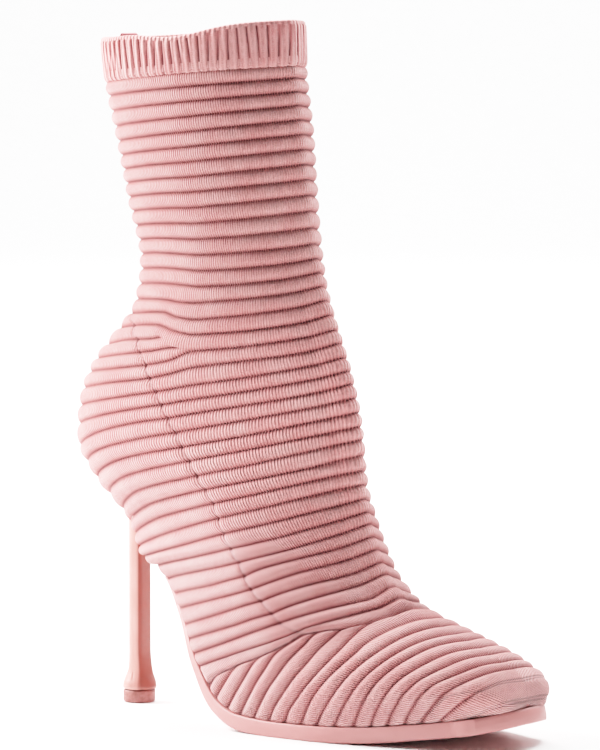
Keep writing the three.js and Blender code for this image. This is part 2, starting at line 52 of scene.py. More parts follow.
# rib number, back or bottom end (share of foot, level), front or top end, half widths, shape of the section
SECTIONS = np.array([
    # rib, backX, backLevel, frontX, frontLevel, wide, flat, place, back, front, inner
    [-3.0, 0.073, 1.960, 0.479, 2.000, 0.771, 0.025, 0.50, 2.1, 1.80, 1.00],
    [0.0, 0.082, 1.858, 0.483, 1.902, 0.771, 0.025, 0.50, 2.1, 1.80, 1.00],
    [4.0, 0.110, 1.717, 0.497, 1.768, 0.759, 0.025, 0.50, 2.1, 1.80, 1.00],
    [8.0, 0.134, 1.584, 0.509, 1.632, 0.735, 0.025, 0.50, 2.1, 1.75, 1.00],
    [12.0, 0.159, 1.448, 0.523, 1.492, 0.711, 0.025, 0.50, 2.1, 1.70, 1.00],
    [15.0, 0.144, 1.344, 0.540, 1.396, 0.728, 0.025, 0.49, 2.1, 1.65, 1.00],
    [17.0, 0.096, 1.272, 0.560, 1.331, 0.747, 0.025, 0.47, 2.1, 1.65, 1.00],
    [19.0, 0.043, 1.199, 0.584, 1.266, 0.754, 0.025, 0.45, 2.1, 1.65, 1.00],
    [21.0, 0.014, 1.127, 0.607, 1.196, 0.759, 0.025, 0.44, 2.1, 1.65, 1.00],
    [24.0, 0.000, 1.012, 0.626, 1.090, 0.759, 0.025, 0.46, 2.0, 1.65, 1.00],
    [26.0, 0.034, 0.876, 0.630, 1.020, 0.771, 0.025, 0.54, 1.8, 1.65, 0.99],
    [28.0, 0.100, 0.729, 0.632, 0.919, 0.783, 0.035, 0.60, 1.5, 1.65, 0.98],
    [30.0, 0.146, 0.590, 0.647, 0.801, 0.807, 0.145, 0.62, 1.3, 1.70, 0.96],
    [32.0, 0.235, 0.529, 0.666, 0.690, 0.843, 0.337, 0.58, 1.4, 1.75, 0.94],
    [34.0, 0.312, 0.405, 0.693, 0.577, 0.892, 0.578, 0.52, 1.6, 1.80, 0.92],
    [36.0, 0.385, 0.233, 0.737, 0.490, 0.940, 0.795, 0.42, 1.8, 1.90, 0.92],
    [38.0, 0.456, 0.102, 0.742, 0.485, 0.971, 0.916, 0.34, 2.0, 1.90, 0.94],
    [39.0, 0.500, 0.070, 0.745, 0.482, 0.983, 0.950, 0.30, 2.0, 1.90, 0.95],
    [41.0, 0.588, 0.059, 0.752, 0.472, 0.992, 0.970, 0.26, 2.0, 1.90, 0.97],
    [43.0, 0.677, 0.061, 0.814, 0.418, 0.965, 0.948, 0.24, 2.0, 2.00, 0.98],
    [45.0, 0.765, 0.070, 0.881, 0.364, 0.872, 0.855, 0.24, 2.0, 2.15, 0.99],
    [47.0, 0.852, 0.091, 0.938, 0.314, 0.730, 0.711, 0.26, 2.0, 2.45, 1.00],
    [49.0, 0.927, 0.114, 0.977, 0.271, 0.592, 0.564, 0.34, 2.0, 2.50, 1.00],
    [50.0, 0.955, 0.126, 0.993, 0.242, 0.490, 0.470, 0.40, 2.0, 2.20, 1.00],
    [50.5, 0.988, 0.143, 0.998, 0.195, 0.330, 0.300, 0.50, 2.0, 2.20, 1.00],
])


def curve_through(table, keys):
    """Values between the rows of a table, without overshoot."""
    x, y = table[:, 0], table[:, 1:]
    step = np.diff(x)[:, None]
    grade = np.diff(y, axis=0) / step
    slope = np.vstack([grade[:1], np.zeros_like(grade[1:]), grade[-1:]])
    a, b = 2 * step[1:] + step[:-1], step[1:] + 2 * step[:-1]
    same = grade[:-1] * grade[1:] > 0
    safe = np.where(same, grade[:-1], 1), np.where(same, grade[1:], 1)
    slope[1:-1] = np.where(same, (a + b) / (a / safe[0] + b / safe[1]), 0)
    keys = np.atleast_1d(np.asarray(keys, float))
    i = np.clip(np.searchsorted(x, keys, side="right") - 1, 0, len(x) - 2)
    h = step[i]
    q = (keys - x[i])[:, None] / h
    return ((2 * q**3 - 3 * q**2 + 1) * y[i] + (q**3 - 2 * q**2 + q) * h * slope[i]
            + (3 * q**2 - 2 * q**3) * y[i + 1] + (q**3 - q**2) * h * slope[i + 1])


def height_of(level):
    return np.where(level <= 1, level * HEEL_HIGH, HEEL_HIGH + (level - 1) * SHAFT_HIGH)


def smooth(x, a, b):
    t = np.clip((x - a) / (b - a), 0, 1)
    return t * t * (3 - 2 * t)


# columns of a half section: the middle of the bottom, then shares of the way from its corner to the top
COLUMNS = 104
SHARES = np.linspace(0, 1, COLUMNS)
FINE = np.arange(-3.2, 50.501, 0.05)


def half_sections(keys):
    """For each key the points (x, half width, z) of a half section, and the length from corner to top."""
    v = curve_through(SECTIONS, keys)
    back = np.stack([v[:, 0] * FOOT, height_of(v[:, 1])], -1)
    front = np.stack([v[:, 2] * FOOT, height_of(v[:, 3])], -1)
    angle = np.linspace(0, math.pi / 2, 120)
    rows, lengths = [], []
    for k in range(len(v)):
        wide, flat, place, n_back, n_front = v[k, 4] * BALL / 2, v[k, 5] * BALL / 2, v[k, 6], v[k, 7], v[k, 8]
        s = np.r_[place * (1 - np.cos(angle) ** (2 / n_back)),
                  place + (1 - place) * np.sin(angle[1:]) ** (2 / n_front)]
        w = np.r_[flat + (wide - flat) * np.sin(angle) ** (2 / n_back),
                  wide * np.abs(np.cos(angle[1:])) ** (2 / n_front)]
        w[-1] = 0
        line = front[k] - back[k]
        arc = np.r_[0, np.cumsum(np.hypot(np.diff(s) * np.hypot(*line), np.diff(w)))]
        s, w = np.interp(SHARES * arc[-1], arc, s), np.interp(SHARES * arc[-1], arc, w)
        s, w = np.r_[0, s], np.r_[0, w]
        rows.append(np.stack([back[k, 0] + line[0] * s, w, back[k, 1] + line[1] * s], -1))
        lengths.append(arc[-1])
    return np.array(rows), np.array(lengths), v[:, 9]


form, form_length, form_inner = half_sections(FINE)

# Where the valleys between the ribs run: the section number at shares of the way from heel or sole to front.
RIB_SHARES = [0, .15, .30, .42, .50, .58, .70, .85, 1.0]
VALLEYS = np.array([
    # rib, then the section number at each share
    [0, 0, 0, 0, 0, 0, 0, 0, 0, -.05],
    [4, 3.95, 3.95, 3.95, 3.95, 3.95, 3.95, 3.90, 3.83, 3.75],
    [8, 7.85, 7.85, 7.85, 7.88, 7.93, 7.99, 7.95, 7.87, 7.75],
    [10, 9.80, 9.80, 9.80, 9.87, 9.95, 10.04, 10.02, 9.93, 9.80],
    [12, 11.70, 11.70, 11.72, 11.85, 12.00, 12.13, 12.16, 12.12, 11.95],
    [14, 13.65, 13.68, 13.75, 13.92, 14.12, 14.32, 14.36, 14.27, 14.00],
    [15, 14.65, 14.70, 14.82, 15.03, 15.30, 15.41, 15.40, 15.30, 15.00],
    [16, 15.60, 15.64, 15.70, 15.85, 16.30, 16.55, 16.52, 16.35, 16.00],
    [17, 16.60, 16.62, 16.56, 16.70, 17.22, 17.58, 17.60, 17.42, 17.03],
    [18, 19.70, 19.58, 19.50, 19.40, 19.22, 18.70, 18.65, 18.42, 18.05],
    [19, 20.85, 20.65, 20.45, 20.33, 20.13, 19.78, 19.60, 19.38, 18.95],
    [20, 22.10, 21.80, 21.50, 21.28, 21.12, 20.90, 20.68, 20.30, 19.85],
    [21, 23.40, 22.95, 22.50, 22.20, 22.03, 21.82, 21.56, 21.18, 20.68],
    [22, 24.60, 24.00, 23.42, 23.10, 22.95, 22.74, 22.45, 22.05, 21.50],
    [24, 26.30, 25.70, 25.18, 24.92, 24.77, 24.60, 24.30, 23.82, 23.30],
    [26, 27.80, 27.30, 26.82, 26.58, 26.43, 26.28, 26.05, 25.62, 25.10],
    [28, 28.90, 28.60, 28.32, 28.18, 28.08, 27.97, 27.76, 27.40, 27.00],
    [30, 30.25, 30.12, 30.00, 29.87, 29.78, 29.68, 29.52, 29.24, 28.95],
    [32, 32.30, 32.15, 32.05, 31.95, 31.85, 31.68, 31.42, 31.00, 30.50],
    [33, 33.10, 33.02, 32.95, 32.80, 32.68, 32.38, 32.10, 31.80, 31.35],
    [34, 33.80, 33.74, 33.65, 33.55, 33.42, 33.20, 32.87, 32.60, 32.20],
    [35, 34.50, 34.45, 34.35, 34.22, 34.13, 33.92, 33.65, 33.43, 33.00],
    [36, 35.05, 35.02, 34.97, 34.86, 34.80, 34.63, 34.42, 34.20, 33.80],
    [37, 35.60, 35.58, 35.50, 35.40, 35.31, 35.21, 35.10, 35.02, 34.60],
    [38, 36.15, 36.20, 36.27, 36.35, 36.32, 36.10, 35.93, 35.78, 35.35],
])
# the short ribs that fill out the heel: they turn back in front of the slanting seam
HEEL_VALLEYS = np.array([
    # rib counted at the heel
    [17, 16.60, 16.62, 16.56, 16.70, 17.22, 17.58, 17.60, 17.42, 17.03],
    [18, 17.72, 17.72, 17.56, 17.63, 17.50, 17.70, 17.80, 17.8, 17.8],
    [19, 18.72, 18.68, 18.56, 18.50, 18.33, 18.05, 18.0, 18.0, 18.0],
    [20, 19.70, 19.58, 19.50, 19.40, 19.22, 18.70, 18.65, 18.42, 18.05],
])
TOE_SHARES = [0, .10, .20, .30, .40, .50, .60, .72, .85, 1.0]
TOE_VALLEYS = np.array([
    # rib of the toe cap, starting at the toe seam
    [-1, 36.55, 36.10, 35.70, 35.30, 34.90, 34.50, 34.1, 33.9, 33.8, 33.8],
    [0, 37.15, 36.65, 36.25, 35.90, 35.50, 35.10, 34.8, 34.6, 34.5, 34.5],
    [1, 37.70, 37.30, 36.85, 36.50, 36.10, 35.80, 35.5, 35.3, 35.2, 35.2],
    [2, 38.45, 38.10, 37.65, 37.10, 36.70, 36.40, 36.2, 36.0, 35.9, 35.9],
    [3, 39.15, 38.80, 38.40, 37.95, 37.30, 36.95, 36.6, 36.4, 36.3, 36.2],
    [4, 39.90, 39.60, 39.25, 38.90, 38.40, 37.90, 37.1, 36.9, 36.8, 36.7],
    [5, 40.70, 40.45, 40.32, 40.10, 39.85, 39.30, 38.7, 37.9, 37.7, 37.6],
    [6, 41.50, 41.32, 41.33, 41.33, 41.30, 41.20, 40.90, 40.30, 40.2, 40.2],
    [7, 42.30, 42.12, 42.02, 42.00, 42.03, 42.04, 41.95, 42.00, 42.08, 42.20],
    [8, 43.02, 42.90, 42.83, 42.75, 42.70, 42.72, 42.76, 42.80, 42.88, 43.00],
    [9, 43.82, 43.70, 43.60, 43.50, 43.44, 43.46, 43.52, 43.62, 43.74, 43.85],
    [10, 44.65, 44.48, 44.34, 44.20, 44.12, 44.14, 44.22, 44.33, 44.46, 44.60],
    [11, 45.37, 45.20, 45.08, 44.96, 44.90, 44.98, 45.10, 45.22, 45.34, 45.45],
    [12, 46.02, 45.90, 45.80, 45.70, 45.70, 45.83, 46.00, 46.10, 46.18, 46.25],
    [13, 46.72, 46.62, 46.55, 46.48, 46.52, 46.78, 47.00, 47.10, 47.17, 47.25],
    [14, 47.45, 47.44, 47.44, 47.46, 47.62, 47.86, 48.02, 48.12, 48.19, 48.25],
    [15, 48.25, 48.48, 48.75, 49.02, 49.24, 49.39, 49.50, 49.62, 49.73, 49.80],
])
# the curved seam over the toes
TOE_SEAM = np.array([
    # share, section number
    [0, 37.00], [.10, 36.85], [.20, 36.85], [.30, 36.97], [.40, 37.02], [.47, 36.95], [.55, 36.68],
    [.58, 36.87], [.63, 37.30], [.66, 37.90], [.70, 38.90], [.75, 40.20], [.80, 40.90], [.85, 41.10],
    [1, 41.25],
])
# the slanting seam: the share where it crosses each section
SIDE_SEAM = np.array([
    # section number, share
    [15.60, .18], [16.55, .283], [17.15, .315], [17.65, .352], [18.5, .385], [18.95, .41], [19.95, .435],
    [21.1, .463], [22.1, .482], [22.75, .495], [24.05, .528], [25.5, .545], [26.9, .557], [28.2, .56],
    [29.4, .55], [30.4, .54], [31.3, .527], [32.0, .517], [32.7, .50], [33.5, .49], [34.2, .497],
    [34.9, .503], [35.4, .506], [36.0, .53], [36.6, .555],
])
# where the short ribs turn back: rib, share
HEEL_MERGE = [[17, .41], [17.33, .462], [17.67, .532], [18, .575]]


def lines_at(table, shares, rib):
    """The section number of a rib's valley in every column."""
    knots = np.column_stack([shares, curve_through(table, rib)[0]])
    return curve_through(knots, SHARES)[:, 0]


SEAM_LINE = curve_through(TOE_SEAM, SHARES)[:, 0]
# Rows per rib, and the ribs counted from the cuff: the rib that three short ones run into behind the ankle,
# the last one above the toe seam and the seam itself. Then the ribs of the toe cap, first those at the side.
PER_RIB, RIB_MIDDLE = 7, 0.5
MERGE_RIB, SHORT_RIBS, LAST_RIB, SEAM_RIB = 17, 3, 38, 39
SIDE_TOE_RIBS, TOE_RIBS = 7, 15
UNDER_CUFF, UNDER_CUFF_ROWS, BAND_ROWS, TOE_END = 0.6, 4, 6, 50.5


def away_from_valley(rib):
    return abs(rib - round(rib))


def row(key, rib, away=None, step=None, plain=0.0):
    """One row of the knit: per column its section number, ribs away from a valley, and ribs per row."""
    away = away_from_valley(rib) if away is None else away
    step = 1 / PER_RIB if step is None else step
    values = {"key": key, "away": away, "step": step, "course": rib, "plain": plain}
    return {name: value + np.zeros(COLUMNS) for name, value in values.items()}


def merged_row(rib, short):
    """A row where three short ribs at the heel run into one rib round the front."""
    at = np.interp(rib, *np.array(HEEL_MERGE).T)
    place = smooth(SHARES, at - 0.05, at + 0.05)
    sharp = smooth(SHARES, at - 0.012, at + 0.008)
    key = lines_at(HEEL_VALLEYS, RIB_SHARES, short) * (1 - place) + lines_at(VALLEYS, RIB_SHARES, rib) * place
    away = away_from_valley(short) * (1 - sharp) + away_from_valley(rib) * sharp
    return row(key, rib, away, (1 - sharp * (SHORT_RIBS - 1) / SHORT_RIBS) / PER_RIB)


def shaft_and_instep_rows():
    """Rows from under the cuff to the last rib above the toe seam."""
    top = lines_at(VALLEYS, RIB_SHARES, 0)
    rows = [row(top - UNDER_CUFF + UNDER_CUFF / UNDER_CUFF_ROWS * i, 0, 0.3) for i in range(UNDER_CUFF_ROWS)]
    for i in range(MERGE_RIB * PER_RIB):
        rows.append(row(lines_at(VALLEYS, RIB_SHARES, i / PER_RIB), i / PER_RIB))
    for i in range(SHORT_RIBS * PER_RIB):
        rows.append(merged_row(MERGE_RIB + i / (SHORT_RIBS * PER_RIB), MERGE_RIB + i / PER_RIB))
    for i in range((LAST_RIB - MERGE_RIB - 1) * PER_RIB + 1):
        rib = MERGE_RIB + 1 + i / PER_RIB
        rows.append(row(lines_at(VALLEYS, RIB_SHARES, rib), rib))
    return rows


def toe_rows():
    """Rows from the band above the toe seam, plain at the side and a rib in front, to the front face."""
    last = lines_at(VALLEYS, RIB_SHARES, LAST_RIB)
    front = smooth(SHARES, 0.58, 0.70)
    rows = [row(last + (SEAM_LINE - last) * i / BAND_ROWS, LAST_RIB + i / BAND_ROWS,
                front * min(i, BAND_ROWS - i) / BAND_ROWS, 1 / BAND_ROWS, 1 - front)
            for i in range(1, BAND_ROWS)]
    rows.append(row(SEAM_LINE, SEAM_RIB, 0.0))
    for i in range(SIDE_TOE_RIBS * PER_RIB + 1):
        key = np.maximum(lines_at(TOE_VALLEYS, TOE_SHARES, i / PER_RIB), SEAM_LINE + 0.004 * (i + 1))
        rows.append(row(key, SEAM_RIB + i / PER_RIB))
    for i in range(1, (TOE_RIBS - SIDE_TOE_RIBS) * PER_RIB + 1):
        key = lines_at(TOE_VALLEYS, TOE_SHARES, SIDE_TOE_RIBS + i / PER_RIB)
        rows.append(row(key, SEAM_RIB + SIDE_TOE_RIBS + i / PER_RIB))
    last = lines_at(TOE_VALLEYS, TOE_SHARES, TOE_RIBS)
    for i in range(1, FACE_ROWS + 1):
        q = (i / FACE_ROWS) ** 1.2
        rows.append(row(last + (TOE_END - last) * q, SEAM_RIB + TOE_RIBS + 2 * q, RIB_MIDDLE))
    return rows


FACE_ROWS = 18
upper_rows = shaft_and_instep_rows()
SEAM_ROW = len(upper_rows) + BAND_ROWS - 1
rows = upper_rows + toe_rows()
LAST_RIB_ROW = len(rows) - FACE_ROWS - 1
KEY, AWAY, STEP, COURSE, PLAIN = (
    np.array([r[name] for r in rows]) for name in ("key", "away", "step", "course", "plain"))
N_ROWS = len(rows)


def on_form(key):
    """Points of the plain form at section numbers given for every column, the bottom middle first."""
    pos = (key - FINE[0]) / (FINE[1] - FINE[0])
    i = np.clip(np.floor(pos).astype(int), 0, len(FINE) - 2)
    f = (pos - i)[..., None]
    col = np.broadcast_to(np.arange(1, COLUMNS + 1), key.shape)
    points = form[i, col] * (1 - f) + form[i + 1, col] * f
    first_i, first_f = i[:, :1], f[:, :1]
    bottom = form[first_i, 0] * (1 - first_f) + form[first_i + 1, 0] * first_f
    return np.concatenate([bottom, points], axis=1)


near = on_form(KEY)
key_full = np.concatenate([KEY[:, :1], KEY], axis=1)
length_full = np.interp(key_full, FINE, form_length)
inner_full = np.interp(key_full, FINE, form_inner)
share_full = np.r_[0, SHARES][None, :] + np.zeros_like(key_full)

# The front face of the square toe: the last ring closed in by shrinking rings that swell forward a little.
CAP_ROWS, CAP_SWELL, CAP_DROP = 9, 1.5, 0.6
CAP_KEY, CAP_COURSE = 50.6, 57.0
middle = (near[-1, 0] + near[-1, -1]) / 2 * np.array([1, 0, 1])
cap = []
for i in range(1, CAP_ROWS + 1):
    q = i / CAP_ROWS
    ring = middle + (near[-1] - middle) * (1 - q)
    ring[:, 0] += CAP_SWELL * (1 - (1 - q) ** 2)
    ring[:, 2] -= CAP_DROP * (1 - (1 - q) ** 2)
    cap.append(ring)


def with_cap(values, end):
    """Values of the knit rows, carried on over the front face of the toe."""
    return np.vstack([values] + [np.full((1, values.shape[1]), end)] * CAP_ROWS)


near = np.concatenate([near, np.array(cap)], axis=0)
away = with_cap(np.concatenate([AWAY[:, :1], AWAY], axis=1), RIB_MIDDLE)
step = with_cap(np.concatenate([STEP[:, :1], STEP], axis=1), 1 / PER_RIB)
course = with_cap(np.concatenate([COURSE[:, :1], COURSE], axis=1), CAP_COURSE)
plain = with_cap(np.concatenate([PLAIN[:, :1], PLAIN], axis=1), 0.0)
key_full = with_cap(key_full, CAP_KEY)
length_full = with_cap(length_full, length_full[-1, -1])
inner_full = with_cap(inner_full, inner_full[-1, -1])
share_full = with_cap(share_full, 0.5)
share_full[N_ROWS:] = np.r_[0, SHARES]

# Creases and slack of the empty shaft: section number, share, reach along and round, and depth in mm.
CREASES = [
    # rib, share, rib reach, share reach, out of the form
    (21.0, .80, 3.0, .16, -1.2),
    (13.5, .30, 3.5, .22, -0.8),
    (6.0, .62, 5.0, .20, 0.7),
    (24.0, .22, 4.0, .16, 0.7),
    (31.0, .70, 3.0, .20, -0.8),
    (45.0, .72, 2.5, .16, 0.5),
]
FOLD_HIGH, FOLD_WIDE = 2.4, 8.0
FOLD_LINE = np.array([
    # the pressed fold down the front, on the outer side: section number, share
    [0, .973], [11, .978], [15, .985], [17.3, .983], [21.2, .973], [25, .982], [29, .982], [31.5, .968],
    [34, .963], [36, .955], [41, .95],
])


def outward_of(points):
    """Unit normals of a grid of points, facing out of the sock."""
    down = np.gradient(points, axis=0)
    along = np.gradient(points, axis=1)
    n = np.cross(down, along)
    size = np.linalg.norm(n, axis=2, keepdims=True)
    return n / np.maximum(size, 1e-9)


def form_shift(right_side):
    """How far the plain form is pushed out by slack, creases and the fold down the front."""
    shift = np.zeros_like(key_full)
    for rib, share, rib_reach, share_reach, depth in CREASES:
        along = (key_full - rib) / rib_reach
        around = (share_full - share) / share_reach
        shift += depth * np.exp(-along**2 - around**2)
    fade = 1 - smooth(key_full, 36, 44)
    fold_share = np.interp(key_full, *FOLD_LINE.T)
    if right_side:
        off = np.abs(share_full - fold_share) * length_full
        shift += fade * FOLD_HIGH * np.clip(1 - off / FOLD_WIDE, 0, 1)
    else:
        shift += fade * FOLD_HIGH * np.clip(1 - (2 - share_full - fold_share) * length_full / FOLD_WIDE, 0, 1)
    return shift


STITCHED_LINE = np.array([
    # the lower stitched line round the toe: distance from the middle, height
    [0, 19.0], [8, 18.9], [14, 18.4], [17, 17.4], [19.5, 15.2], [21.2, 12.6], [23, 9.0], [60, 0.0],
])


def signed_from_row(points, row_index):
    """Distance in mm from one row of the grid, less than nothing above it."""
    sign = np.where(np.arange(len(points)) < row_index, -1.0, 1.0)[:, None]
    return sign * np.linalg.norm(points - points[row_index][None], axis=2)


# A mark is never drawn this far off. The grooves along the seams and stitched lines: depth, reach in mm.
FAR = 9.0
SIDE_GROOVE, TOE_GROOVE, UPPER_GROOVE, LOWER_GROOVE = (0.85, 0.85), (0.75, 1.0), (0.35, 1.2), (0.35, 1.1)


# Section numbers where the hem, the flat front, the lower line and the mark down its middle begin.
HEM_FROM, FRONT_FROM, LOWER_FROM, MIDDLE_FROM = 33, (48.6, 49.2), 49.0, 49.7
# A rib's mean height as a share, a valley too far off to show, the first rise past the toe, and low reliefs.
RIB_MEAN, NO_VALLEY, FIRST_RISE, BAND_HIGH, FRONT_HIGH = 0.55, 3.0, 3.2, 0.2, 0.45


def groove(distance, depth, reach):
    return depth * np.exp(-(distance / reach) ** 2)


def knit_side(right_side):
    """One side of the knit skin with its ribs, and the distances in mm that the shader draws its marks and its
    painted valley shade by.
    """
    points = near.copy()
    points[..., 1] *= -1.0 if right_side else inner_full
    normal = outward_of(points) * (1 if right_side else -1)
    pitch = np.clip(np.linalg.norm(np.gradient(points, axis=0), axis=2) / step, 0.5, 8.0)
    tube = np.sin(math.pi * np.clip(away, 0, 0.5)) ** RIB_ROUND
    relief = RIB_HIGH * (tube - RIB_MEAN) * smooth(pitch, 1.0, 4.0) * (1 - plain) + BAND_HIGH * plain
    valley = away * pitch + NO_VALLEY * plain
    side = (share_full - np.interp(key_full, *SIDE_SEAM.T)) * length_full
    side = np.where((key_full > SIDE_SEAM[0, 0]) & (key_full < SIDE_SEAM[-1, 0]), side, FAR)
    toe = signed_from_row(points, SEAM_ROW)
    relief -= groove(side, *SIDE_GROOVE) + groove(toe, *TOE_GROOVE)
    # the two stitched lines round the toe: the upper one is a valley at the side and flat across the front
    upper = signed_from_row(points, LAST_RIB_ROW)
    lower = points[..., 2] - np.interp(np.abs(points[..., 1]), *STITCHED_LINE.T)
    lower = np.where(key_full > LOWER_FROM, lower, FAR)
    low_side = 1 - smooth(share_full, 0.25, 0.6)
    past = np.arange(len(points))[:, None] > LAST_RIB_ROW
    rise = np.sin(math.pi / 2 * np.clip(upper / FIRST_RISE, 0, 1)) ** RIB_ROUND
    relief = np.where(past, RIB_HIGH * (rise - RIB_MEAN), relief)
    flat = smooth(key_full, *FRONT_FROM) * (1 - low_side)
    relief = relief * (1 - flat) + (FRONT_HIGH - groove(upper, *UPPER_GROOVE)) * flat
    relief -= groove(lower, *LOWER_GROOVE)
    valley = np.where(past, upper + NO_VALLEY * (1 - low_side), valley + NO_VALLEY * flat)
    hem = np.maximum(smooth(share_full, -0.01, 0.03), 0.3)
    relief = relief * np.where(key_full > HEM_FROM, hem, 1.0)
    points = points + normal * (relief + form_shift(right_side))[..., None]
    return {
        "points": points, "valley": valley, "side": side, "toe": toe, "lower": lower,
        "upper": upper + FAR * smooth(low_side, .6, 1),
        "middle": np.where(key_full > MIDDLE_FROM, points[..., 1], FAR),
    }


MARKS = ("valley", "side", "toe", "upper", "lower", "middle")
right, left = knit_side(True), knit_side(False)


def ring_of(a, b):
    """Joins the two sides into whole rings: bottom middle, up the right side, over, down the left side."""
    return np.concatenate([a, b[:, -2:0:-1]], axis=1)


def grid_mesh(name, points, closed, flip, layers=None, uv=None):
    """A mesh from a grid of points in mm. layers are numbers per point; uv is one pair per point."""
    n_rows, n_cols = points.shape[:2]
    index = np.arange(n_rows * n_cols).reshape(n_rows, n_cols)
    right_index = np.roll(index, -1, axis=1) if closed else index[:, 1:]
    left_index = index if closed else index[:, :-1]
    quads = np.stack([left_index[:-1], right_index[:-1], right_index[1:], left_index[1:]], -1).reshape(-1, 4)
    if flip:
        quads = quads[:, ::-1]
    mesh = bpy.data.meshes.new(name)
    mesh.vertices.add(points.shape[0] * points.shape[1])
    mesh.vertices.foreach_set("co", ((points.reshape(-1, 3) + ORIGIN) * MM).ravel())
    mesh.loops.add(quads.size)
    mesh.loops.foreach_set("vertex_index", quads.ravel())
    mesh.polygons.add(len(quads))
    mesh.polygons.foreach_set("loop_start", np.arange(0, quads.size, 4))
    mesh.update(calc_edges=True)
    mesh.polygons.foreach_set("use_smooth", np.ones(len(quads), bool))
    for key, value in (layers or {}).items():
        layer = mesh.attributes.new(key, "FLOAT", "POINT")
        layer.data.foreach_set("value", np.ascontiguousarray(value, dtype=np.float32).ravel())
    if uv is not None:
        coords = np.stack(uv, -1).reshape(-1, 2)[quads.ravel()]
        mesh.uv_layers.new(name="knit").data.foreach_set("uv", coords.astype(np.float32).ravel())
    piece = bpy.data.objects.new(name, mesh)
    bpy.context.scene.collection.objects.link(piece)
    return piece


skin = ring_of(right["points"], left["points"])
on_toe = (np.arange(len(key_full)) > SEAM_ROW)[:, None]
wale_half = (share_full - 0.5) * np.where(on_toe, length_full / WALE, SHAFT_WALES)
knit_uv = (ring_of(wale_half, wale_half), ring_of(course, course) * 10)
knit_layers = {name: ring_of(right[name], left[name]) for name in MARKS}
upper = grid_mesh("upper_knit", skin, True, True, knit_layers, knit_uv)


class Shader:
    """A small helper that adds nodes to a material and links plain values or sockets into them."""

    def __init__(self, name):
        self.material = bpy.data.materials.new(name)
        self.material.use_nodes = True
        self.tree = self.material.node_tree
        self.surface = self.tree.nodes["Principled BSDF"]

    def add(self, kind, inputs=(), out=0, **settings):
        node = self.tree.nodes.new("ShaderNode" + kind)
        for key, value in settings.items():
            setattr(node, key, value)
        for key, value in (inputs.items() if isinstance(inputs, dict) else enumerate(inputs)):
            self.put(node.inputs[key], value)
        return node.outputs[out]

    def put(self, socket, value):
        if isinstance(value, bpy.types.NodeSocket):
            self.tree.links.new(value, socket)
        elif value is not None:
            socket.default_value = value

    def set(self, name, value):
        self.put(self.surface.inputs[name], value)

    def math(self, operation, *inputs):
        return self.add("Math", inputs, operation=operation)

    def ramp(self, value, a, b, low=0.0, high=1.0):
        return self.add("MapRange", [value, a, b, low, high], interpolation_type="SMOOTHSTEP")

    def mix(self, factor, a, b):
        node = self.tree.nodes.new("ShaderNodeMix")
        node.data_type = "RGBA"
        self.put(node.inputs[0], factor)
        self.put(node.inputs[6], a)
        self.put(node.inputs[7], b)
        return node.outputs[2]

    def noise(self, scale, detail=2.0, rough=0.5):
        node = self.tree.nodes.new("ShaderNodeTexNoise")
        self.put(node.inputs["Scale"], scale)
        self.put(node.inputs["Detail"], detail)
        self.put(node.inputs["Roughness"], rough)
        self.put(node.inputs["Vector"], self.add("TexCoord", out=3))
        return node.outputs[0]

    def bump(self, height, distance, strength):
        node = self.tree.nodes.new("ShaderNodeBump")
        self.put(node.inputs["Strength"], strength)
        self.put(node.inputs["Distance"], distance)
        self.put(node.inputs["Height"], height)
        return node.outputs[0]


def colour(r, g, b):
    """Linear colour from the usual 0 to 255 numbers."""
    parts = [c / 255 for c in (r, g, b)]
    return tuple(c / 12.92 if c <= 0.04045 else ((c + 0.055) / 1.055) ** 2.4 for c in parts) + (1.0,)


# The yarn's tones. The deep one also paints the shade towards the valleys between the ribs. The dark one paints
# the shade in the valley bottoms as well as the seams and stitches.
YARN, YARN_DEEP_AND_SHADE, YARN_DARK_AND_SHADE, YARN_PALE = (
    colour(215, 134, 132), colour(162, 70, 71), colour(92, 28, 31), colour(236, 188, 184))


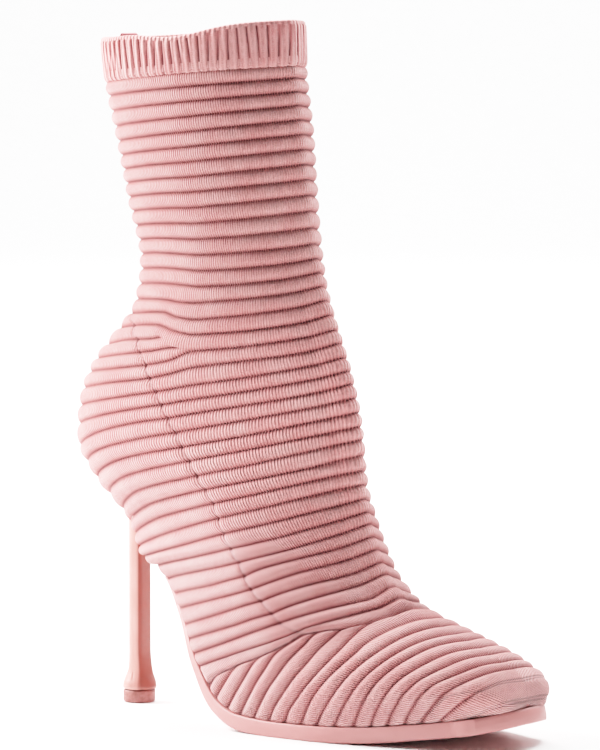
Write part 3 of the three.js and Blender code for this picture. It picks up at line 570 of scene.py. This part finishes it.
def knit_material(name, marked):
    """Fine rib knit: wales across the rib, courses along it, painted shade that deepens towards the valleys
    with a dotted dark line along each, and a soft fibre bloom.
    """
    s = Shader(name)
    s.add("SeparateXYZ", [s.add("UVMap", uv_map="knit")])
    u, v = s.tree.nodes[-1].outputs[0], s.tree.nodes[-1].outputs[1]
    drift = s.noise(220.0, 2.0)
    u = s.math("ADD", u, s.math("MULTIPLY", drift, 0.35))
    wale = s.math("COSINE", s.math("MULTIPLY", u, 2 * math.pi))
    row = s.math("COSINE", s.math("MULTIPLY", v, 2 * math.pi))
    fibre = s.noise(2600.0, 2.0)
    blotch = s.noise(90.0, 3.0)
    patch = s.noise(18.0, 2.0)
    uneven = s.ramp(s.noise(420.0, 2.0), 0.3, 0.7, 0.35, 1.0)
    low = s.math("MULTIPLY", s.ramp(wale, -0.8, 0.6, 1.0, 0.0), s.math("MULTIPLY", uneven, 0.66))
    tone = s.mix(low, YARN, YARN_DEEP_AND_SHADE)
    tone = s.mix(s.ramp(blotch, 0.35, 0.75, 0.0, 0.25), tone, YARN_PALE)
    tone = s.mix(s.ramp(patch, 0.30, 0.70, 0.16, 0.0), tone, YARN_DEEP_AND_SHADE)
    tone = s.mix(s.ramp(fibre, 0.40, 0.75, 0.0, 0.30), tone, YARN_PALE)
    height = s.math("ADD", s.math("MULTIPLY", wale, 1.0), s.math("MULTIPLY", row, 0.12))
    height = s.math("ADD", height, s.math("MULTIPLY", fibre, 0.4))
    if marked:
        mark = {name: s.add("Attribute", out=2, attribute_name=name) for name in MARKS}
        dots = s.ramp(wale, -0.5, 0.6, 1.0, 0.15)
        beads = s.ramp(row, -0.2, 0.7, 0.25, 1.0)
        # Painted shade: the yarn deepens towards each valley between the ribs, where shade falls.
        tone = s.mix(s.ramp(mark["valley"], 0.2, 1.9, 0.62, 0.0), tone, YARN_DEEP_AND_SHADE)
        # Painted shade too: a dotted dark line along the bottom of each valley. The seams and stitched lines
        # below are gathered with it.
        line = s.math("MULTIPLY", s.ramp(mark["valley"], 0.20, 0.66, 1.0, 0.0), dots)
        knots = s.math("MAXIMUM", s.math("MULTIPLY", beads, 0.6), s.ramp(mark["valley"], 0.7, 1.6, 1.0, 0.0))
        side = s.math("MULTIPLY", s.ramp(s.math("ABSOLUTE", mark["side"]), 0.30, 0.85, 1.0, 0.0), knots)
        toe = s.math("MULTIPLY", s.ramp(s.math("ABSOLUTE", mark["toe"]), 0.25, 0.8, 0.9, 0.0), uneven)
        ink_and_valley_shade = s.math("MAXIMUM", s.math("MAXIMUM", line, side), toe)
        for name, strength in (("upper", 1.0), ("lower", 0.75)):
            gap = s.math("ABSOLUTE", s.math("SUBTRACT", s.math("ABSOLUTE", mark[name]), 0.58))
            stitch = s.math("MULTIPLY", s.ramp(gap, 0.16, 0.50, strength, 0.0), s.math("MAXIMUM", dots, 0.45))
            ink_and_valley_shade = s.math("MAXIMUM", ink_and_valley_shade, stitch)
        ink_and_valley_shade = s.math("MAXIMUM", ink_and_valley_shade, s.ramp(s.math("ABSOLUTE", mark["middle"]), 0.1, 0.5, 0.18, 0.0))
        # The seams, the stitched lines and the painted shade in the valley bottoms are laid on in the dark
        # tone.
        tone = s.mix(s.math("MULTIPLY", ink_and_valley_shade, 0.85), tone, YARN_DARK_AND_SHADE)
        height = s.math("SUBTRACT", height, s.math("MULTIPLY", ink_and_valley_shade, 1.4))
    s.set("Base Color", tone)
    s.set("Roughness", s.ramp(fibre, 0.2, 0.8, 0.80, 0.95))
    s.set("Specular IOR Level", 0.22)
    s.set("Sheen Weight", s.ramp(mark["valley"], 0.2, 1.8, 0.15, 0.6) if marked else 0.5)
    s.set("Sheen Roughness", 0.45)
    s.set("Sheen Tint", colour(255, 226, 226))
    s.set("Normal", s.bump(height, 0.00028, 0.9))
    return s.material


upper.data.materials.append(knit_material("rib_knit", True))
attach(upper, "root")
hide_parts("upper")

# The inside of the sock: the back of the same knit, which is flatter and has no open valleys.
# It is not a piece of its own but the other face of the tube, and it shows through the collar.
LINING_IN = 2.2
lining_key = np.r_[0.8, np.arange(2.0, 50.1, 0.8)]


def offset_rings(keys, inset):
    """Whole rings of the form, set in or out by a distance."""
    half = on_form(np.repeat(np.atleast_1d(keys)[:, None], COLUMNS, axis=1))
    inner = np.interp(keys, FINE, form_inner)[:, None]
    sides = []
    for sign in (-1.0, 1.0):
        points = half.copy()
        points[..., 1] *= sign * (1.0 if sign < 0 else inner)
        normal = outward_of(points) * (1 if sign < 0 else -1)
        sides.append(points - normal * np.asarray(inset).reshape(-1, 1, 1))
    return ring_of(sides[0], sides[1])


lining_points = offset_rings(lining_key, np.full(len(lining_key), LINING_IN))
lining_wale = np.interp(lining_key, FINE, form_length)[:, None] * (np.r_[0, SHARES] - 0.5)[None] / WALE
lining_course = lining_key[:, None] * 10 + np.zeros_like(lining_wale)
lining = grid_mesh("upper_inside", lining_points, True, False, None,
                   (ring_of(lining_wale, lining_wale), ring_of(lining_course, lining_course)))
lining.data.materials.append(knit_material("knit_reverse", False))
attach(lining, "root")

# The cuff: the same knit turned to upright tubes round the collar, with a rolled edge on top and a scalloped
# edge below where the tubes stop over the first round rib.
CUFF_RIBS, PER_CUFF_RIB = 62, 12
CUFF_PROFILE = [
    # section number, distance out of the form in mm, share of the rib relief, share of the scallop
    (1.30, -2.1, 0.0, 0), (0.40, -2.1, 0.15, 0), (-1.0, -2.1, 0.2, 0), (-2.4, -2.0, 0.2, 0),
    (-2.86, -1.9, 0.1, 0), (-3.02, -1.6, 0.0, 0), (-3.12, -1.1, 0.0, 0), (-3.16, -0.5, 0.0, 0),
    (-3.14, 0.1, 0.0, 0), (-3.06, 0.55, 0.05, 0), (-2.96, 0.70, 0.08, 0), (-2.88, 0.60, 0.15, 0),
    (-2.88, 0.40, 0.5, 0), (-2.80, 0.40, 0.9, 0), (-2.66, 0.4, 1.0, 0), (-2.30, 0.4, 1.0, 0),
    (-1.90, 0.4, 1.0, 0), (-1.40, 0.35, 1.0, 0), (-0.90, 0.3, 1.0, 0), (-0.50, 0.25, 1.0, 0.2),
    (-0.28, 0.2, 0.9, 0.5), (-0.12, 0.15, 0.6, 0.6), (-0.02, 0.0, 0.3, 0.6), (0.05, -0.4, 0.1, 0.6),
    (0.05, -0.9, 0.0, 0.6),
]
CUFF_RELIEF = 1.15
SCALLOP = 0.14
# where the rim hangs slack: rib of the cuff, reach in ribs, drop in mm
SLACK = [(18.2, 4.6, 3.8), (9.0, 5.0, 1.4)]
# the form's sections at the rim, counted up from the cuff's foot, and inside below it
RIM_AT, LOW_AT = 3.0, 1.3
# The tubes sway a little all round, and some near the ninth lean over. CUFF_PITCH is their width in mm.
SWAY, SWAY_TURN, SWAY_AT = 0.10, 0.9, 1.5
LEAN, LEAN_AT, LEAN_REACH = 0.16, 9, 2.5
CUFF_PITCH = 6.5


def cuff_grid():
    """The cuff as a grid: one row per profile point, evenly spaced columns round the collar."""
    total = CUFF_RIBS * PER_CUFF_RIB
    points, valley = [], []
    base = offset_rings(np.array([-RIM_AT, 0.0, LOW_AT]), np.zeros(3))
    place = []
    for ring in base:
        closed = np.vstack([ring, ring[:1]])
        arc = np.r_[0, np.cumsum(np.linalg.norm(np.diff(closed, axis=0), axis=1))]
        arc /= arc[-1]
        even = np.arange(total) / total
        place.append(np.stack([np.interp(even, arc, closed[:, i]) for i in range(3)], -1))
    top, foot, low = place
    tangent = np.roll(top, -1, axis=0) - np.roll(top, 1, axis=0)
    out = np.cross(tangent, top - foot)
    out /= np.linalg.norm(out, axis=1, keepdims=True)
    middle = top.mean(axis=0)
    out *= np.sign(((top - middle) * out).sum(axis=1).mean())
    even = np.arange(total) / PER_CUFF_RIB
    for k, off, share, hang in CUFF_PROFILE:
        sway = SWAY * np.sin(even * SWAY_TURN) * (k + SWAY_AT)
        rib = even + (sway + LEAN * np.exp(-((even - LEAN_AT) / LEAN_REACH) ** 2) * (k + RIM_AT))
        d = np.abs(rib - np.round(rib))
        tube = np.sin(math.pi * d) ** 0.5
        k_here = k + hang * SCALLOP * (tube - 0.4)
        q = (-k_here / RIM_AT)[:, None]
        line = np.where(q >= 0, foot + (top - foot) * q, foot + (low - foot) * (-q * RIM_AT / LOW_AT))
        fold = np.abs(even / CUFF_RIBS - 0.5 * FOLD_LINE[0, 1]) * 2 * form_length[4]
        lift = FOLD_HIGH * np.clip(1 - fold / FOLD_WIDE, 0, 1)
        for rib_at, reach, drop in SLACK:
            line[:, 2] -= drop * np.exp(-((even - rib_at) / reach) ** 2) * smooth(q[:, 0], 0.0, 1.0)
        points.append(line + out * (off + lift + share * CUFF_RELIEF * (tube - 0.30))[:, None])
        valley.append(d * CUFF_PITCH + NO_VALLEY * (share < 0.5))
    return np.array(points), np.array(valley), even


cuff_points, cuff_valley, cuff_even = cuff_grid()
across = np.cumsum(np.r_[0, np.linalg.norm(np.diff(cuff_points[:, 0], axis=0), axis=1)])[:, None] / WALE
cuff_wale = cuff_even[None] * 2 + 0.5 + np.zeros(cuff_points.shape[:2])
cuff_course = across + np.zeros(cuff_points.shape[:2])
cuff = grid_mesh("cuff", cuff_points, True, True, {
    name: cuff_valley if name == "valley" else np.full(cuff_valley.shape, FAR) for name in MARKS
}, (cuff_wale, cuff_course))
cuff.data.materials.append(bpy.data.materials["rib_knit"])
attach(cuff, "root")

# The pull loop: a length of dark pink grosgrain ribbon, folded over itself.
# Both ends are sewn inside the back of the cuff, so that the fold stands just above the rim.
def strip(name, path, width, node, thick):
    """A ribbon along a path of (x, z) points in mm, straight across, with rounded long edges."""
    path = np.array(path, float)
    side_dir = np.gradient(path, axis=0)
    side_dir /= np.linalg.norm(side_dir, axis=1, keepdims=True)
    normal = np.stack([-side_dir[:, 1], side_dir[:, 0]], -1)
    section = []
    for i in range(12):
        a = 2 * math.pi * i / 12
        y = (width / 2 - thick / 2) * np.sign(math.cos(a)) + thick / 2 * math.cos(a)
        section.append((y, thick / 2 * math.sin(a)))
    points = np.array([
        [[p[0] + n[0] * s, y, p[1] + n[1] * s] for y, s in section] for p, n in zip(path, normal)])
    uv = (np.linspace(0, 1, 12)[None] * 10 + np.zeros((len(path), 1)),
          np.cumsum(np.r_[0, np.linalg.norm(np.diff(path, axis=0), axis=1)])[:, None] + np.zeros((1, 12)))
    piece = grid_mesh(name, points, True, False, None, uv)
    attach(piece, "root")
    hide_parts(node)
    return piece


loop_low, loop_high = (np.array(c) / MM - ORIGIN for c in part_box("pull_loop"))
LOOP_WIDE, LOOP_THICK, LOOP_GAP = 9.0, 0.8, 1.3
rim, below_rim = SECTIONS[0], SECTIONS[1]
lean_per_mm = (rim[1] - below_rim[1]) * FOOT / (height_of(rim[2]) - height_of(below_rim[2]))
loop_base_z, loop_top_z = loop_low[2] + 0.5, loop_high[2]


def loop_path():
    """Up the outer leaf, over the top fold and down the inner leaf."""
    x0 = loop_low[0] + 0.6 - lean_per_mm * (loop_top_z - loop_low[2])
    out = []
    for i in range(14):
        z = loop_base_z + (loop_top_z - 1.4 - loop_base_z) * i / 13
        out.append((x0 + lean_per_mm * (z - loop_base_z) - 0.15 * math.sin(i / 13 * math.pi), z))
    cx, cz = out[-1][0] + LOOP_GAP / 2 + 0.1, out[-1][1]
    for i in range(1, 8):
        a = math.pi - math.pi * i / 8
        out.append((cx + (LOOP_GAP / 2 + 0.1) * math.cos(a), cz + 1.0 * math.sin(a)))
    for i in range(14):
        z = cz + (loop_base_z - cz) * i / 13
        out.append((cx + LOOP_GAP / 2 + 0.1 + lean_per_mm * (z - cz), z))
    return out


pull_loop = strip("pull_loop_ribbon", loop_path(), LOOP_WIDE, "pull_loop", LOOP_THICK)
ribbon = Shader("ribbon")
ribbon_uv = ribbon.add("UVMap", uv_map="knit")
ribbon.add("SeparateXYZ", [ribbon_uv])
weave = ribbon.math("COSINE", ribbon.math("MULTIPLY", ribbon.tree.nodes[-1].outputs[1], 2 * math.pi * 1.4))
ribbon.set("Base Color", ribbon.mix(
    ribbon.ramp(weave, -1.0, 0.5, 0.5, 0.0), colour(203, 106, 112), colour(160, 70, 78)))
ribbon.set("Roughness", ribbon.ramp(weave, -1, 1, 0.7, 0.5))
ribbon.set("Normal", ribbon.bump(weave, 0.00012, 0.7))
pull_loop.data.materials.append(ribbon.material)

# The insole: a foam board that follows the last from the heel seat to the toe.
# It is covered in a fine pink lining cloth and glued to the inside of the sole.
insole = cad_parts["insole"]
lining_cloth = Shader("insole_cloth")
cloth = lining_cloth.noise(1400.0, 3.0)
cloud = lining_cloth.noise(40.0, 3.0)
tone = lining_cloth.mix(lining_cloth.ramp(cloud, 0.35, 0.7), colour(226, 186, 178), colour(212, 164, 158))
tone = lining_cloth.mix(lining_cloth.ramp(cloth, 0.3, 0.7), tone, colour(196, 146, 142))
lining_cloth.set("Base Color", tone)
lining_cloth.set("Roughness", lining_cloth.ramp(cloth, 0.2, 0.8, 0.85, 0.7))
lining_cloth.set("Normal", lining_cloth.bump(cloth, 0.00015, 0.8))
insole.data.materials.clear()
insole.data.materials.append(lining_cloth.material)

# The outsole: one moulding of pink rubber, a thin strap up the waist that thickens to a flat forefoot with a
# square toe turned up off the floor. It is stuck under the sock with its top edge standing proud.
SOLE_THICK, SOLE_PROUD, JOIN = 6.2, 1.6, 0.3
SOLE_ROWS = np.array([
    # rib, thickness share, proud share
    [32.0, 0.24, 0.0], [34.0, 0.36, 0.1], [36.0, 0.60, 0.45], [38.0, 0.85, 0.85], [39.5, 1.00, 1.0],
    [49.0, 1.00, 1.0],
])
# rings past the last row: how far along the middle lies, half width
SOLE_TOE = [
    (212.0, 25.6), (215.0, 25.5), (218.0, 25.3), (220.5, 25.1), (222.5, 24.8), (224.2, 24.3), (225.6, 23.6),
    (226.8, 22.4),
]
TOE_BOW, TOE_LIFT, TOE_TWIST, TOE_REACH = 0.71, 1.2, 0.045, 17
# roundness of the tread's edge, the lip at the knit, and the half width that the bow is measured at, in mm
SOLE_EDGE, SOLE_LIP, BOW_HALF = 1.1, 0.45, 25.0


def underside(keys):
    """Bottom centre line of the sock, its downward normal and half widths."""
    v = curve_through(SECTIONS, keys)
    before = curve_through(SECTIONS, keys - 0.05)
    after = curve_through(SECTIONS, np.minimum(keys + 0.05, TOE_END))
    point = np.stack([v[:, 0] * FOOT, height_of(v[:, 1])], -1)
    run = np.stack([(after - before)[:, 0] * FOOT, height_of(after[:, 1]) - height_of(before[:, 1])], -1)
    run /= np.linalg.norm(run, axis=1, keepdims=True)
    return point, np.stack([run[:, 1], -run[:, 0]], -1), v[:, 5] * BALL / 2, v[:, 9]


def sole_ring(point, down, thick, right_half, left_half, bow=0.0):
    """One ring across the sole: top, rounded top edge, side wall, rounded tread edge, tread."""
    top = point + down * JOIN
    edge = min(SOLE_EDGE, 0.42 * thick)
    lip = min(SOLE_LIP, 0.2 * thick)
    profile = [(0, -lip), (lip * 0.3, -lip * 0.3), (lip, 0), (thick * 0.5, 0.12)]
    for i in range(5):
        a = math.pi / 2 * i / 4
        profile.append((thick - edge + edge * math.sin(a), -edge * (1 - math.cos(a))))
    ring = []
    for sign, half in ((-1, right_half), (1, left_half)):
        part = []
        inward = [(0, -half * f) for f in (1.0, 0.75, 0.5, 0.25)]
        outward = [(thick, -edge - (half - edge) * f) for f in (0.25, 0.5, 0.75, 1.0)]
        for depth, out in inward + profile + outward:
            y = sign * max(half + out, 0.0)
            x, z = top + down * depth
            part.append((x - bow * (y / BOW_HALF) ** 2, y, max(z, 0.0)))
        ring.append(part)
    return ring[0] + ring[1][::-1][1:-1]


def sole_rings():
    rings = []
    keys = np.r_[32.0, np.arange(32.25, 49.01, 0.25)]
    points, downs, halves, inners = underside(keys)
    shape = curve_through(SOLE_ROWS, keys)
    for p, d, half, inner, (thick, proud) in zip(points, downs, halves, inners, shape):
        grow = proud * SOLE_PROUD
        rings.append(sole_ring(p, d, thick * SOLE_THICK, half + grow, half * inner + grow))
    end_point, end_down = (a[0] for a in underside(np.array([SOLE_ROWS[-1, 0]]))[:2])
    slope = np.array([-end_down[1], end_down[0]])
    grade = slope[1] / slope[0]
    for x, half in SOLE_TOE:
        point = end_point + slope * (x - end_point[0]) / slope[0]
        ring = np.array(sole_ring(point, end_down, SOLE_THICK, half, half, TOE_BOW * (x - end_point[0])))
        ahead = np.clip(ring[:, 0] - end_point[0], 0, None) / TOE_REACH
        bent = TOE_BOW * (x - end_point[0]) * (ring[:, 1] / BOW_HALF) ** 2
        ring[:, 2] += TOE_LIFT * ahead**1.5 + TOE_TWIST * ring[:, 1] * ahead - grade * bent
        rings.append([tuple(q) for q in ring])
    first, last = np.array(rings[0]), np.array(rings[-1])
    rings.insert(0, [tuple(first.mean(axis=0) * 0.999 + q * 0.001) for q in first])
    across = last[:, 1]
    middle = np.stack([np.polyval(np.polyfit(across, last[:, 0], 2), across), across,
                       np.polyval(np.polyfit(across, last[:, 2], 3), across)], -1)
    for share, ahead in ((0.6, 0.35), (-0.04, 0.45)):
        front = middle + (last - middle) * np.array([share, 1, share]) + np.array([ahead, 0, 0])
        rings.append([tuple(q) for q in front])
    return np.array(rings)


sole_grid = sole_rings()
sole_flat = np.zeros(sole_grid.shape[:2])
sole_steps = np.linalg.norm(np.diff(sole_grid[:, 4], axis=0), axis=1)
sole_along = np.cumsum(np.r_[0, sole_steps])[:, None] + sole_flat
outsole = grid_mesh("outsole_moulding", sole_grid, True, False, None,
                    (sole_along, np.arange(sole_grid.shape[1])[None] + sole_flat))
rubber = Shader("sole_rubber")
grain = rubber.noise(900.0, 3.0)
cloud = rubber.noise(30.0, 4.0)
rub = rubber.noise(140.0, 4.0, rough=0.65)
tone = rubber.mix(rubber.ramp(cloud, 0.3, 0.7, 0.0, 0.6), colour(198, 127, 124), colour(183, 110, 107))
tone = rubber.mix(rubber.ramp(rub, 0.62, 0.78, 0.0, 0.35), tone, colour(168, 98, 94))
rubber.set("Base Color", tone)
rubber.set("Roughness", rubber.ramp(cloud, 0.3, 0.7, 0.46, 0.6))
rubber.set("Coat Weight", 0.12)
rubber.set("Coat Roughness", 0.35)
rubber.set("Normal", rubber.bump(
    rubber.math("ADD", grain, rubber.math("MULTIPLY", rub, 1.5)), 0.00008, 0.6))
outsole.data.materials.append(rubber.material)
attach(outsole, "root")
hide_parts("outsole")

# The heel: a block of lacquered plastic hidden in the knit, with a slim pin moulded in one with it.
# The pin is round behind and flat in front, where a deeper tone is painted on as shade, and flares to a foot
# for the tip.
PIN_SKIN, PIN_SIDES = 0.2, 48
PIN_ROWS = np.array([
    # height in mm, half width, distance of the breast from the axis, roundness of the breast corners
    [5.5, 6.30, 6.10, 2.0], [6.4, 6.55, 6.35, 2.0], [8.0, 6.35, 6.0, 2.1], [9.8, 5.60, 5.1, 2.5],
    [12.0, 4.70, 4.1, 3.2], [15.0, 4.20, 3.55, 4.0], [20.0, 4.0, 3.4, 4.5], [60.0, 4.0, 3.4, 4.5],
    [86.0, 4.0, 3.4, 4.5],
])


def pin_rings():
    rings = []
    heights = np.r_[np.linspace(5.5, 20, 30), np.linspace(21, 86, 24)]
    for z, (half, breast, n) in zip(heights, curve_through(PIN_ROWS, heights)):
        ring = []
        half, breast = half + PIN_SKIN, breast + PIN_SKIN * (1 + 4 * (1 - smooth(z, 12, 22)))
        for i in range(PIN_SIDES):
            a = 2 * math.pi * i / PIN_SIDES
            c, s = math.cos(a), math.sin(a)
            if c > 0:
                x = breast * abs(c) ** (2 / n)
                y = half * math.copysign(abs(s) ** (2 / n), s)
            else:
                x, y = half * c, half * s
            ring.append((TIP_AT + x, y, z))
        rings.append(ring)
    low, high = np.array(rings[0]), np.array(rings[-1])
    for share in (0.9, 0.02):
        rings.insert(0, [tuple(low.mean(axis=0) + (q - low.mean(axis=0)) * share) for q in low])
    rings.append([tuple(high.mean(axis=0) + (q - high.mean(axis=0)) * 0.02) for q in high])
    return np.array(rings)


# Painted shade: the flat front of the pin gets a deeper, warmer tone that stands in for the shade on it.
PIN_BREAST_PAINTED_SHADE = colour(132, 56, 43)
pin_points = pin_rings()
breast = np.tile(smooth(np.cos(2 * np.pi * np.arange(PIN_SIDES) / PIN_SIDES), 0.52, 0.66), (len(pin_points), 1))
heel_pin = grid_mesh("heel_pin", pin_points, True, False, {"breast": breast},
                     (np.zeros_like(breast), np.zeros_like(breast)))
plastic = Shader("heel_plastic")
speck = plastic.noise(500.0, 3.0)
cloud = plastic.noise(60.0, 3.0)
tone = plastic.mix(plastic.ramp(cloud, 0.3, 0.7, 0.0, 0.6), colour(208, 136, 127), colour(192, 116, 106))
# The mask of the flat front, where the painted shade goes.
flat = plastic.add("Attribute", out=2, attribute_name="breast")
plastic.set("Base Color", plastic.mix(flat, tone, PIN_BREAST_PAINTED_SHADE))
plastic.set("Roughness", plastic.ramp(speck, 0.3, 0.7, 0.46, 0.56))
plastic.set("Coat Weight", 0.10)
plastic.set("Coat Roughness", 0.22)
plastic.set("Normal", plastic.bump(speck, 0.00004, 0.5))
heel_pin.data.materials.append(plastic.material)
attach(heel_pin, "root")
heel_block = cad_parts["heel"]
heel_block.data.materials.clear()
heel_block.data.materials.append(plastic.material)

# The heel tip: a round of hard rubber, darker than the pin and dull.
# It is nailed up into the foot of the pin, with a fine groove above it.
TIP_PROFILE = [
    # height, radius in mm
    (0.0, 0.1), (0.0, 5.6), (0.15, 6.1), (0.6, 6.5), (1.2, 6.6), (4.4, 6.6), (4.9, 6.45), (5.15, 6.1),
    (5.2, 0.1),
]
turn = 2 * math.pi * np.arange(64) / 64
tip_rings = np.array([
    np.stack([TIP_AT + r * np.cos(turn), r * np.sin(turn), np.full(64, z)], -1) for z, r in TIP_PROFILE])
heel_tip = grid_mesh("heel_tip_rubber", tip_rings, True, False, None,
                     (np.zeros((9, 64)), np.zeros((9, 64))))
tip_rubber = Shader("tip_rubber")
speck = tip_rubber.noise(700.0, 4.0)
tip_rubber.set("Base Color", tip_rubber.mix(
    tip_rubber.ramp(speck, 0.3, 0.7), colour(156, 92, 86), colour(136, 74, 68)))
tip_rubber.set("Roughness", tip_rubber.ramp(speck, 0.3, 0.7, 0.45, 0.62))
tip_rubber.set("Normal", tip_rubber.bump(speck, 0.0001, 0.5))
heel_tip.data.materials.append(tip_rubber.material)
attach(heel_tip, "root")
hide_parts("heel_tip")

# The studio: a pale sweep of paper that bends up into a wall far behind the boot.
# The camera stands at the height of the ankle, with large soft lights at both sides and above.
AZIMUTH, ELEVATION, DISTANCE = math.radians(40.0), math.radians(4.26), 1.937
AIM_AT, AIM_HIGH = 112.0, 0.1383
to_camera = Vector((math.sin(AZIMUTH) * math.cos(ELEVATION), -math.cos(AZIMUTH) * math.cos(ELEVATION),
                    math.sin(ELEVATION)))
to_right = Vector((math.cos(AZIMUTH), math.sin(AZIMUTH), 0.0))
flat_back = Vector((-math.sin(AZIMUTH), math.cos(AZIMUTH), 0.0))
target = Vector(((AIM_AT + ORIGIN[0]) * MM, ORIGIN[1] * MM, AIM_HIGH))

camera_data = bpy.data.cameras.new("camera")
camera_data.sensor_width = 36.0
camera_data.lens = 234.24
camera_data.clip_end = 20.0
camera = bpy.data.objects.new("camera", camera_data)
camera.location = target + to_camera * DISTANCE
camera.rotation_euler = to_camera.to_track_quat("Z", "Y").to_euler()
bpy.context.scene.collection.objects.link(camera)
bpy.context.scene.camera = camera

sweep_points = []
WALL_AT, WALL_BEND = 3.8, 1.1
paper_line = [(-4.5, 0), (0.2, 0), (WALL_AT, 0)]
for a in np.linspace(0.1, math.pi / 2, 16):
    paper_line.append((WALL_AT + WALL_BEND * math.sin(a), WALL_BEND * (1 - math.cos(a))))
paper_line.append((WALL_AT + WALL_BEND, 3.6))
for distance, height in paper_line:
    sweep_points.append([
        tuple(np.array(target - Vector((0, 0, AIM_HIGH)) + flat_back * distance + to_right * w
                       + Vector((0, 0, height))) / MM - ORIGIN) for w in np.linspace(-3.0, 3.0, 13)])
floor = grid_mesh("floor", np.array(sweep_points), False, False)
paper = Shader("paper")
fleck = paper.noise(60.0, 4.0)
paper.set("Base Color", paper.mix(
    paper.ramp(fleck, 0.3, 0.7), (0.90, 0.90, 0.90, 1), (0.885, 0.885, 0.885, 1)))
paper.set("Roughness", 0.9)
paper.set("Normal", paper.bump(fleck, 0.0002, 0.2))
floor.data.materials.append(paper.material)

LIGHTS = [
    # name, right of the boot, behind it, height, size, watts
    ("key", -1.15, 0.45, 1.00, 0.9, 116.0),
    ("side", -1.10, -0.75, 0.55, 0.8, 0.6),
    ("rim", 0.95, 1.10, 0.80, 0.7, 20.0),
    ("top", 0.40, 0.35, 1.60, 0.8, 40.0),
    ("paper", 0.0, 2.2, 2.8, 2.2, 330.0),
]
for name, right_of, behind, high, size, watts in LIGHTS:
    light_data = bpy.data.lights.new(name, "AREA")
    light_data.shape, light_data.size, light_data.energy = "SQUARE", size, watts
    light = bpy.data.objects.new(name, light_data)
    place = Vector((target.x, target.y, 0)) + to_right * right_of + flat_back * behind + Vector((0, 0, high))
    aim = Vector((target.x, target.y, 0.12)) + (flat_back * 3.3 if name == "paper" else Vector((0, 0, 0)))
    light.location = place
    light.rotation_euler = (place - aim).to_track_quat("Z", "Y").to_euler()
    bpy.context.scene.collection.objects.link(light)
world = bpy.data.worlds.new("studio")
world.use_nodes = True
world.node_tree.nodes["Background"].inputs[0].default_value = (1.0, 0.985, 0.98, 1)
world.node_tree.nodes["Background"].inputs[1].default_value = 0.03
bpy.context.scene.world = world
view = bpy.context.scene.view_settings
view.view_transform = "Standard"
view.use_curve_mapping = True
view.curve_mapping.white_level = (3.0, 3.0, 3.0)
film = view.curve_mapping.curves[3]
film.points[-1].location = (1.0, 1.0)
for amount in (0.2, 0.4, 0.7, 1.0, 1.5, 2.0):
    film.points.new(amount / 3, 1 - math.exp(-1.25 * amount))
view.curve_mapping.update()
